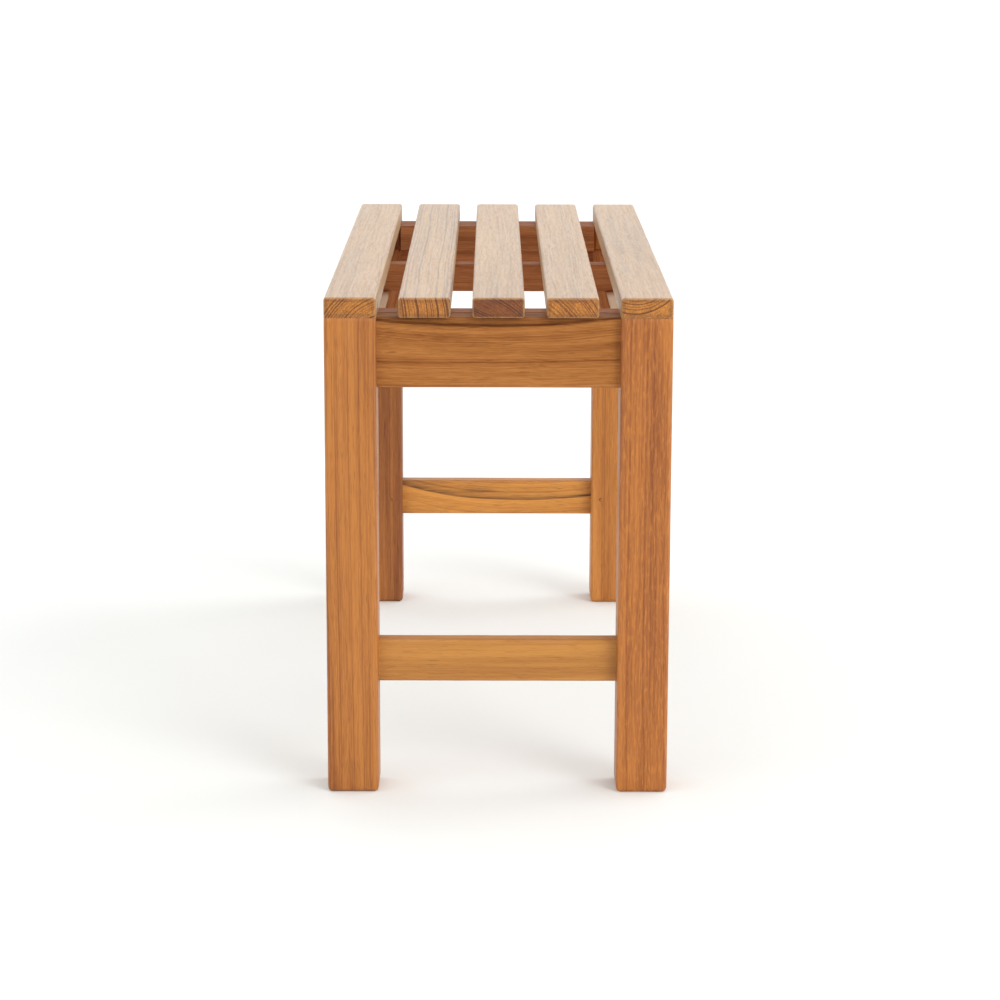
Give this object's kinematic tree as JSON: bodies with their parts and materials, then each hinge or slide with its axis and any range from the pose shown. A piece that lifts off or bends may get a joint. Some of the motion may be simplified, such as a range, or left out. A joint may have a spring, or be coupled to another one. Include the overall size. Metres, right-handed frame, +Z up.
{
  "type": "backless bench",
  "caption": "Slatted backless bench in solid teak on square legs, with end aprons, end stretchers and side rails set under the seat.",
  "frame": {"origin": "on the floor, under the centre of the seat", "axes": "+X runs along the slats towards the right-hand end, +Y runs across the bench towards its back, +Z is up"},
  "size_m": [0.75, 0.306, 0.45],
  "materials": {
    "teak_legs": "sanded teak, oiled, satin",
    "teak_rails": "sanded teak, oiled, satin",
    "teak_battens": "sanded teak, oiled, satin",
    "teak_slats": "sanded teak, oiled, satin",
    "teak_pins": "turned teak, cut flush and sanded",
    "stainless_screws": "plain stainless steel"
  },
  "bodies": {
    "root": {"leg_back_right": "teak_legs", "leg_front_right": "teak_legs", "leg_back_left": "teak_legs", "leg_front_left": "teak_legs", "end_apron_right": "teak_rails", "end_apron_left": "teak_rails", "end_stretcher_right": "teak_rails", "end_stretcher_left": "teak_rails", "side_rail_back": "teak_rails", "side_rail_front": "teak_rails", "end_cleat_right": "teak_battens", "end_cleat_left": "teak_battens", "middle_batten": "teak_battens", "slat_1": "teak_slats", "slat_2": "teak_slats", "slat_3": "teak_slats", "slat_4": "teak_slats", "slat_5": "teak_slats", "slat_screws": "stainless_screws", "rail_screws": "stainless_screws", "cleat_screws": "stainless_screws", "tenon_pins": "teak_pins", "slat_dowels": "teak_pins"}
  },
  "joints": []
}
